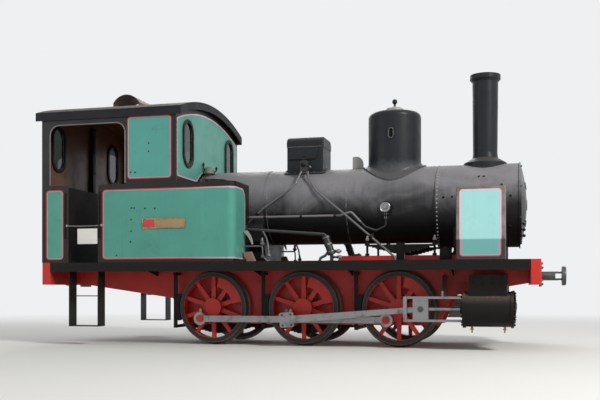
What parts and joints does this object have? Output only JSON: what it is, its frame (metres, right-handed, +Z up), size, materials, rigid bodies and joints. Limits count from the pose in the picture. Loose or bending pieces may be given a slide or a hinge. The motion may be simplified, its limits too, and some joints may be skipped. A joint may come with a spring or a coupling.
{
  "type": "narrow-gauge side-tank steam locomotive",
  "caption": "Small steam locomotive with side tanks, open-sided cab, tall chimney, dome and sandbox, outside cylinders and coupled spoked wheels on inside plate frames.",
  "frame": {"origin": "midway along the length, on the centre line, at the lowest point of the wheel flanges", "axes": "+X forward to the smokebox door, +Y to the left-hand side, +Z up"},
  "size_m": [6.43, 2.24, 3.1998],
  "materials": {
    "green_paint": "satin",
    "black_paint": "satin",
    "red_paint": "satin",
    "roof_paint": "matte",
    "steel": "satin",
    "valve_brass": "satin",
    "window_glass": "gloss"
  },
  "bodies": {
    "engine": {"axleboxes": "black_paint", "boiler_barrel": "black_paint", "boiler_pipes": "black_paint", "brake_gear": "black_paint", "buffer_beams": "red_paint", "cab_controls": "black_paint", "cab_front": "green_paint", "cab_rear": "green_paint", "cab_roof": "roof_paint", "cab_sides": "green_paint", "cab_steps": "black_paint", "central_buffers": "black_paint", "chimney": "black_paint", "coal_bunker": "black_paint", "cylinders": "black_paint", "firebox_casing": "black_paint", "footplate": "black_paint", "leaf_springs": "black_paint", "main_frame": "red_paint", "roof_ventilator": "roof_paint", "safety_valve": "valve_brass", "sand_pipes": "black_paint", "sandbox": "black_paint", "side_lockers": "green_paint", "side_tank_left": "green_paint", "side_tank_right": "green_paint", "slide_bars": "steel", "smokebox": "black_paint", "smokebox_saddle": "black_paint", "steam_dome": "black_paint", "window_glass": "window_glass", "window_rims": "black_paint"},
    "wheelset_front": {"wheelset_front": "red_paint"},
    "wheelset_driven": {"wheelset_driven": "red_paint"},
    "wheelset_rear": {"wheelset_rear": "red_paint"},
    "coupling_rod_right": {"coupling_rod_right": "steel"},
    "coupling_rod_left": {"coupling_rod_left": "steel"},
    "crosshead_right": {"crosshead_right": "steel"},
    "crosshead_left": {"crosshead_left": "steel"},
    "connecting_rod_right": {"connecting_rod_right": "steel"},
    "connecting_rod_left": {"connecting_rod_left": "steel"},
    "smokebox_door": {"smokebox_door": "black_paint"},
    "sandbox_lid": {"sandbox_lid": "black_paint"},
    "tank_lid_right": {"tank_lid_right": "black_paint"},
    "tank_lid_left": {"tank_lid_left": "black_paint"}
  },
  "joints": [
    {"name": "wheelset_driven_turn", "type": "hinge", "parent": "engine", "child": "wheelset_driven", "pos_m": [0.22, 0, 0.45], "axis": [0, 1, 0], "continuous": true},
    {"name": "wheelset_front_turn", "type": "hinge", "parent": "engine", "child": "wheelset_front", "pos_m": [1.35, 0, 0.45], "axis": [0, 1, 0], "continuous": true},
    {"name": "wheelset_rear_turn", "type": "hinge", "parent": "engine", "child": "wheelset_rear", "pos_m": [-0.91, 0, 0.45], "axis": [0, 1, 0], "continuous": true},
    {"name": "coupling_rod_right_pivot", "type": "hinge", "parent": "wheelset_driven", "child": "coupling_rod_right", "pos_m": [0.08565, -0.64, 0.31565], "axis": [0, 1, 0], "continuous": true},
    {"name": "crosshead_right_slide", "type": "slide", "parent": "engine", "child": "crosshead_right", "axis": [1, 0, 0], "range_m": [-0.0498, 0.3302]},
    {"name": "connecting_rod_right_pivot", "type": "hinge", "parent": "crosshead_right", "child": "connecting_rod_right", "pos_m": [1.62982, -0.8, 0.45], "axis": [0, 1, 0], "range_deg": [-2.07, 12.01]},
    {"name": "coupling_rod_left_pivot", "type": "hinge", "parent": "wheelset_driven", "child": "coupling_rod_left", "pos_m": [0.35435, 0.64, 0.31565], "axis": [0, 1, 0], "continuous": true},
    {"name": "crosshead_left_slide", "type": "slide", "parent": "engine", "child": "crosshead_left", "axis": [1, 0, 0], "range_m": [-0.3185, 0.0615]},
    {"name": "connecting_rod_left_pivot", "type": "hinge", "parent": "crosshead_left", "child": "connecting_rod_left", "pos_m": [1.89852, 0.8, 0.45], "axis": [0, 1, 0], "range_deg": [-2.07, 12.01]},
    {"name": "smokebox_door_hinge", "type": "hinge", "parent": "engine", "child": "smokebox_door", "pos_m": [2.735, 0.473, 1.655], "axis": [0, 0, 1], "range_deg": [0, 110]},
    {"name": "sandbox_lid_hinge", "type": "hinge", "parent": "engine", "child": "sandbox_lid", "pos_m": [0.153, 0.253, 2.416], "axis": [-1, 0, 0], "range_deg": [0, 100]},
    {"name": "tank_lid_right_hinge", "type": "hinge", "parent": "engine", "child": "tank_lid_right", "pos_m": [-0.8, -0.648, 1.9625], "axis": [-1, 0, 0], "range_deg": [0, 100]},
    {"name": "tank_lid_left_hinge", "type": "hinge", "parent": "engine", "child": "tank_lid_left", "pos_m": [-0.8, 0.648, 1.9625], "axis": [1, 0, 0], "range_deg": [0, 100]}
  ],
  "couplings": [
    {"joint": "wheelset_front_turn", "follows": "wheelset_driven_turn", "ratio": 1},
    {"joint": "wheelset_rear_turn", "follows": "wheelset_driven_turn", "ratio": 1},
    {"joint": "coupling_rod_right_pivot", "follows": "wheelset_driven_turn", "ratio": -1},
    {"joint": "coupling_rod_left_pivot", "follows": "wheelset_driven_turn", "ratio": -1}
  ]
}
